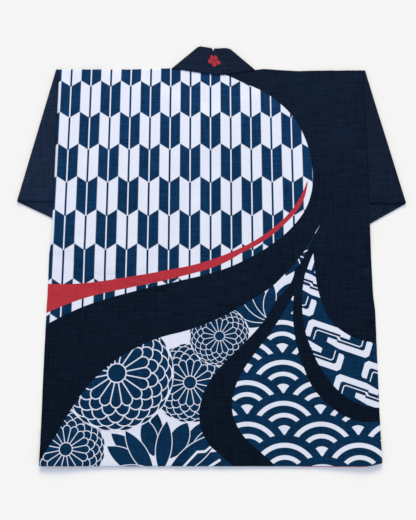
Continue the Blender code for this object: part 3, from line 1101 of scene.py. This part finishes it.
def build_front(name, side, sizes, material):
    """A front, from the shoulder to its turned hem and from the side seam to the band."""
    depths = steps(0.0, ARMHOLE, sizes.hidden_step)
    depths += steps(ARMHOLE, BODY_LENGTH, sizes.hidden_step)[1:]
    grid, flat = [], []
    for share in steps(0.0, 1.0, sizes.hidden_step / 0.26):
        column, cut = [], []
        for depth in depths:
            rim = RIM if depth > ARMHOLE - 0.0005 else 0.0003
            x = side * mix(side_x(side, depth) - rim, seam_x(side, depth) + 0.0003, share)
            down = hem_drawn(x, below_top(x, depth, 0.0014))
            peek = PEEK * smooth((x - PEEK_X[0]) / PEEK_RAMP) * smooth((PEEK_X[1] - x) / PEEK_RAMP)
            down += peek * smooth(1 - (BODY_LENGTH - depth) / 0.1)
            column.append(world(x, down, lift(x, down) + FRONT_LEVEL))
            cut.append((x, down))
        x, down = cut[-1]
        radius = 0.0004
        for k in range(1, ROLL + 1):
            angle = pi * k / ROLL
            up = lift(x, down) + FRONT_LEVEL + radius * (1 - cos(angle))
            column.append(world(x, down + radius * sin(angle), up))
            cut.append((x, down + radius * angle))
        for back in steps(0.0, sizes.hem, 0.01)[1:]:
            column.append(world(x, down - back, lift(x, down - back) + FRONT_LEVEL + 2 * radius))
            cut.append((x, down + back))
        grid.append(column)
        flat.append(cut)
    return cloth_piece(name, grid, flat, sizes.cloth, material)


def sleeve_line(past):
    """x at the shoulder edge and at the underarm of a line this far past the start of the bend."""
    shift = (past - FOLD_INSET) / FOLD_OUT[0]
    return FOLD_TOP_X + shift, FOLD_TIP_X + shift


def build_sleeve(name, side, sizes, material):
    """A flattened tube, open at both ends, turned under along its slanting line."""
    thick, step = sizes.cloth, sizes.sleeve_step
    armhole = [side_x(side, depth) + 0.0002 for depth in (0.0, ARMHOLE)]
    start, end = sleeve_line(0.0), sleeve_line(pi * FOLD_RADIUS)
    count = 14
    lines = [[mix(a, b, k / count) for a, b in zip(armhole, start)] for k in range(count)]
    lines += [sleeve_line(pi * FOLD_RADIUS * k / 8) for k in range(8)]
    count = round((CUFF_X - end[1]) / step)
    lines += [[mix(a, CUFF_X, k / count) for a in end] for k in range(count + 1)]
    rows = round(SLEEVE_DEPTH / step)

    def loop(half, inset):
        """Distance from the shoulder edge, height over the middle and distance round the tube."""
        low, high = inset + half, SLEEVE_DEPTH - inset - half
        found = [(mix(low, high, k / rows), half) for k in range(rows + 1)]
        found += [
            (high + half * cos(angle), half * sin(angle))
            for angle in (pi / 2 - pi * k / 4 for k in range(1, 4))
        ]
        found += [(mix(high, low, k / rows), -half) for k in range(rows + 1)]
        found += [
            (low + half * cos(angle), half * sin(angle))
            for angle in (-pi / 2 - pi * k / 4 for k in range(1, 4))
        ]
        return found

    points, faces, uvs, rings = [], [], [], []
    for number, (top_x, low_x) in enumerate(lines):
        for half, inset in ((TUBE / 2, 0.0), (TUBE / 2 - thick, thick)):
            ring = []
            round_tube = loop(half, inset)
            for place, (depth, height) in enumerate(round_tube):
                straight = mix(top_x, low_x, depth / SLEEVE_DEPTH)
                from_seam = straight - side_x(side, min(depth, ARMHOLE))
                past = (straight - FOLD_TOP_X) * FOLD_OUT[0] + depth * FOLD_OUT[1]
                if height > 0 and past < 0:
                    away = smooth(-past / 0.012) * smooth(from_seam / 0.006)
                    away *= smooth(depth / 0.02) * smooth((SLEEVE_DEPTH - depth) / 0.02)
                    soft = noise.noise(Vector((straight * 26 * side, depth * 14, 1.7)))
                    height += 0.0011 * away * (0.5 + soft)
                    height -= 0.0009 * exp(-max(from_seam, 0.0) / 0.0016)
                x, down, level = turn_under(straight, depth, height)
                if past < 0 and depth > SLEEVE_DEPTH - 0.03:
                    # The lower edge isn't quite straight
                    slack = smooth((depth - SLEEVE_DEPTH + 0.03) / 0.03)
                    down += 0.0012 * slack * noise.noise(Vector((straight * 34, side * 2.0, 0.2)))
                if side > 0:
                    x += SLEEVE_LEAN * down * min(1.0, from_seam / 0.04)
                    down += SLEEVE_DROP + SLEEVE_PULL * down + SLEEVE_SLIP * max(0.0, past)
                ring.append(len(points))
                points.append(world(side * x, down, level))
                around = depth if place <= rows else 2 * SLEEVE_DEPTH - depth
                uvs.append((side * straight, around))
            rings.append(ring)

    def skin(a, b):
        for k in range(len(a)):
            n = (k + 1) % len(a)
            faces.append([a[k], a[n], b[n], b[k]])

    for k in range(len(lines) - 1):
        skin(rings[2 * k], rings[2 * k + 2])
        skin(rings[2 * k + 3], rings[2 * k + 1])
    skin(rings[1], rings[0])
    skin(rings[-2], rings[-1])
    return make_piece(name, points, faces, uvs, material)


def collar_line(x):
    """Ends of the line across the band that starts at this x of the neck seam."""
    low, high = -seam_x(-1, 0) + COLLAR_INSET, seam_x(1, 0) - COLLAR_INSET
    x = min(max(x, low), high)
    share = (x - low) / (high - low)
    seam = Vector((x, top_rise(x) + 0.0003))
    return seam, Vector((table(COLLAR_TOP, share, 1), table(COLLAR_TOP, share, 2)))


def build_collar(sizes):
    """The band, a strip folded double: up one front, over, round the neck and down the other.

    Gives its points, its flat places and its length to the blossom, and from end to end.
    """
    thick = sizes.cloth
    half = (2 * BAND_LEVEL - thick) / 2  # from the band's middle to the middle of a layer
    across_steps = 14
    lines = []  # (start, end, height, distance along the band, where it is)

    def front(side, depth):
        low, high = collar_line(side)
        fan = max(0, 1 - depth / TOP_BLEND)
        seam = Vector((side * seam_x(side, depth), -depth))
        edge = Vector((side * edge_x(side, depth), -depth))
        seam += (low - Vector((side * seam_x(side, 0), 0))) * fan
        edge += (high - Vector((side * edge_x(side, 0), 0))) * fan
        return seam, edge, BAND_LEVEL, "front"

    def fold(side, turn):
        low, high = collar_line(side)
        along = (high - low).normalized()
        out = Vector((-along.y, along.x)) * -side
        angle = pi * turn
        shift = out * (BAND_RADIUS * sin(angle))
        return low + shift, high + shift, BAND_LEVEL + BAND_RADIUS * (1 - cos(angle)), "fold"

    depths = list(reversed(steps(0.0, BODY_LENGTH, sizes.hidden_step)))
    lines += [front(-1, depth) for depth in depths]
    lines += [fold(-1, k / 6) for k in range(1, 6)]
    for x in steps(-seam_x(-1, 0) + COLLAR_INSET, seam_x(1, 0) - COLLAR_INSET, 0.0013):
        lines.append((*collar_line(x), BAND_LEVEL + 2 * BAND_RADIUS, "neck"))
    lines += [fold(1, 1 - k / 6) for k in range(1, 6)]
    lines += [front(1, depth) for depth in reversed(depths)]

    def neck_crease(x, rise):
        """The pinch below the notch: a short trough with a ridge on each side of it."""
        below = max(0.0465 - rise, -0.006)
        fade = smooth(1 - below / 0.024)
        turn = x - NOTCH_X + 0.10 * below
        trough = -0.0020 * exp(-((turn / 0.0014) ** 2))
        ridge = 0.0021 * exp(-(((turn - 0.0038) / 0.0022) ** 2))
        ridge += 0.0017 * exp(-(((turn + 0.0042) / 0.0026) ** 2))
        return fade * (trough + ridge)

    grid, flat, run = [], [], 0.0
    before = None
    for seam, edge, height, kind in lines:
        middle = (seam + edge) / 2
        if before is not None:
            run += max((middle - before).length, BAND_RADIUS * pi / 6 if kind == "fold" else 0.0)
        before = middle
        column, cut = [], []
        wide = (edge - seam).length
        along = (edge - seam).normalized()

        def add(distance, level):
            at = seam + along * distance
            depth = -at.y
            here = lift(at.x, depth) + height + level
            if kind == "neck":
                here += neck_crease(at.x, at.y)
                if level > 0:
                    here += 0.0005 * noise.noise(Vector((at.x * 30, at.y * 42, 2.6)))
                    # The band's sewn edge laps over the back and lies on it
                    here += 0.0004 * smooth(1 - distance / 0.008)
            column.append(world(at.x, depth, here))

        lap = -0.0035 if kind == "neck" else 0.0
        for k in range(across_steps + 1):
            add(mix(lap, wide - half, k / across_steps), half)
            cut.append((run, mix(lap, wide - half, k / across_steps)))
        for k in range(1, 4):
            angle = pi / 2 - pi * k / 4
            at = seam + along * (wide - half + half * cos(angle))
            column.append(
                world(at.x, -at.y, lift(at.x, -at.y) + height + half * sin(angle))
            )
            cut.append((run, wide))
        for k in range(across_steps, -1, -1):
            add(mix(0.0, wide - half, k / across_steps), -half)
            cut.append((run, 2 * wide - mix(0.0, wide - half, k / across_steps)))
        grid.append(column)
        flat.append(cut)
    middle_run = None
    for (seam, edge, height, kind), cut in zip(lines, flat):
        if kind == "neck" and seam.x <= 0.0062:
            middle_run = cut[0][0]
    return grid, flat, middle_run, run


# ---------------------------------------------------------------- operators


class COAT_OT_fronts(bpy.types.Operator):
    """Makes the two fronts, which lie under the back"""

    bl_idname = "coat.fronts"
    bl_label = "Fronts"

    def execute(self, context):
        sizes, colours = context.scene.coat_sizes, context.scene.coat_colours

        def red_edge(tree, x, depth):
            """The dyed stretch of the right front's hem."""
            low, high = RED_EDGE
            mask = (x - low).least(high - x).least(depth - RED_EDGE_DEPTH).edge(0.002)
            return mask, colours.red

        cloth = plain_cotton("front_cotton_cloth", colours.navy, red_edge)
        for name, side in (("front_left", -1), ("front_right", 1)):
            piece = build_front(name + "_cloth", side, sizes, cloth)
            settle(piece, name)
        return {"FINISHED"}


class COAT_OT_sleeves(bpy.types.Operator):
    """Makes the two sleeves, turned under along their slanting folds"""

    bl_idname = "coat.sleeves"
    bl_label = "Sleeves"

    def execute(self, context):
        sizes, colours = context.scene.coat_sizes, context.scene.coat_colours
        # The left sleeve is lighter than the right
        for name, side, share in (("sleeve_left", -1, 1.30), ("sleeve_right", 1, 0.84)):
            tint = [value * share for value in colours.plain]
            cloth = plain_cotton(name + "_cotton", tint)
            piece = build_sleeve(name + "_cloth", side, sizes, cloth)
            settle(piece, name)
        return {"FINISHED"}


class COAT_OT_back(bpy.types.Operator):
    """Makes the printed back"""

    bl_idname = "coat.back"
    bl_label = "Back"

    def execute(self, context):
        sizes, colours = context.scene.coat_sizes, context.scene.coat_colours
        piece = build_back(sizes, printed_cotton(colours))
        settle(piece, "back_panel")
        return {"FINISHED"}


class COAT_OT_collar(bpy.types.Operator):
    """Makes the collar band with its small red blossom"""

    bl_idname = "coat.collar"
    bl_label = "Collar"

    def execute(self, context):
        sizes, colours = context.scene.coat_sizes, context.scene.coat_colours
        grid, flat, middle, length = build_collar(sizes)

        def blossom(tree, x, depth):
            """Five round petals with a small eye, in the middle of the band at the neck."""
            u = (x - middle - BLOSSOM_ASIDE) / BLOSSOM_RADIUS
            v = (BLOSSOM_UP - depth) / BLOSSOM_RADIUS
            radius = tree.length(u, v)
            turn = (v.math("ARCTAN2", u) * (5 / (2 * pi)) + 0.25).part() - 0.5
            petal = 1.0 - abs(turn) * abs(turn) * 1.5 - radius
            side = abs(turn) - 0.5
            gap = (0.045 - abs(side) * radius * 1.25).edge(0.05) * (radius > 0.3)
            eye = (0.16 - radius).edge(0.06)
            return petal.edge(0.06) * (1 - gap) * (1 - eye), colours.red

        cloth = plain_cotton("collar_cotton_cloth", colours.plain, blossom)
        piece = cloth_piece("collar_band", grid, flat, sizes.cloth, cloth)
        settle(piece, "collar")
        return {"FINISHED"}


class COAT_OT_stage(bpy.types.Operator):
    """Makes the pale floor, the soft lights and the camera"""

    bl_idname = "coat.stage"
    bl_label = "Stage"

    def execute(self, context):
        colours = context.scene.coat_colours
        mesh = bpy.data.meshes.new("floor")
        corners = [(x * FLOOR_HALF, y * FLOOR_HALF, 0) for x, y in ((-1, -1), (1, -1), (1, 1), (-1, 1))]
        mesh.from_pydata(corners, [], [(0, 1, 2, 3)])
        tree = Tree(bpy.data.materials.new("floor_paper"))
        place = tree.node("ShaderNodeTexCoord", None, (), 3)
        x, y = tree.parted(place)
        grain = tree.noise(x * 60, y * 60, 3.0)
        paper = shaded(tree, tuple(colours.floor), 1 + grain * 0.006)
        shader = tree.node(
            "ShaderNodeBsdfPrincipled", None,
            {"Base Color": paper, "Roughness": 0.95, "Specular IOR Level": 0.0},
        )
        tree.node("ShaderNodeOutputMaterial", None, (shader,))
        mesh.materials.append(tree.owner)
        floor = bpy.data.objects.new("floor", mesh)
        floor.location = (0, 0, -FLOOR_GAP)
        context.scene.collection.objects.link(floor)

        # The light from all round is a little cool, and the backdrop it comes from is plain
        tree = Tree(bpy.data.worlds.new("studio"))
        sky = tree.node("ShaderNodeBackground", None, {"Color": SKY_COLOUR})
        backdrop = tree.node("ShaderNodeBackground", None, {"Color": BACKDROP_COLOUR})
        seen = tree.node("ShaderNodeLightPath", None, (), "Is Camera Ray")
        shown = tree.node("ShaderNodeMixShader", None, (seen, sky, backdrop))
        tree.node("ShaderNodeOutputWorld", None, (shown,))
        context.scene.world = tree.owner

        lamp = bpy.data.lights.new("soft_light", "SUN")
        lamp.energy, lamp.angle, lamp.color = SUN_STRENGTH, SUN_SPREAD, SUN_COLOUR
        light = bpy.data.objects.new("soft_light", lamp)
        towards = Vector((0.0, -cos(SUN_HEIGHT), -sin(SUN_HEIGHT)))
        light.rotation_mode = "QUATERNION"
        light.rotation_quaternion = towards.to_track_quat("-Z", "Y")
        context.scene.collection.objects.link(light)

        camera = bpy.data.cameras.new("camera")
        camera.lens, camera.sensor_width = 50.0, 36.0
        eye = bpy.data.objects.new("camera", camera)
        middle = (CAD_LOW + CAD_HIGH) / 2
        target = Vector((middle.x + AIM[0], middle.y + AIM[1], AIM[2]))
        back = Vector((0, -sin(CAMERA_TILT), cos(CAMERA_TILT)))
        eye.location = target + back * CAMERA_DISTANCE
        eye.rotation_mode = "QUATERNION"
        eye.rotation_quaternion = (-back).to_track_quat("-Z", "Y")
        context.scene.collection.objects.link(eye)
        context.scene.camera = eye
        context.scene.view_settings.view_transform = "Standard"
        return {"FINISHED"}


class COAT_PT_panel(bpy.types.Panel):
    """Lists the pieces of the coat and their sizes"""

    bl_idname = "COAT_PT_panel"
    bl_label = "Happi Coat"
    bl_space_type = "VIEW_3D"
    bl_region_type = "UI"
    bl_category = "Happi Coat"

    def draw(self, context):
        for operator in OPERATORS:
            self.layout.operator(operator.bl_idname)
        for group in (context.scene.coat_sizes, context.scene.coat_colours):
            column = self.layout.column()
            for name in group.__annotations__:
                column.prop(group, name)


OPERATORS = (COAT_OT_stage, COAT_OT_fronts, COAT_OT_sleeves, COAT_OT_back, COAT_OT_collar)
CLASSES = (COAT_PG_sizes, COAT_PG_colours, *OPERATORS, COAT_PT_panel)


def register():
    for each in CLASSES:
        bpy.utils.register_class(each)
    bpy.types.Scene.coat_sizes = PointerProperty(type=COAT_PG_sizes)
    bpy.types.Scene.coat_colours = PointerProperty(type=COAT_PG_colours)


def unregister():
    del bpy.types.Scene.coat_colours
    del bpy.types.Scene.coat_sizes
    for each in reversed(CLASSES):
        bpy.utils.unregister_class(each)


def main():
    register()
    bpy.ops.coat.stage()
    bpy.ops.coat.fronts()
    bpy.ops.coat.sleeves()
    bpy.ops.coat.back()
    bpy.ops.coat.collar()


if __name__ == "__main__":
    main()
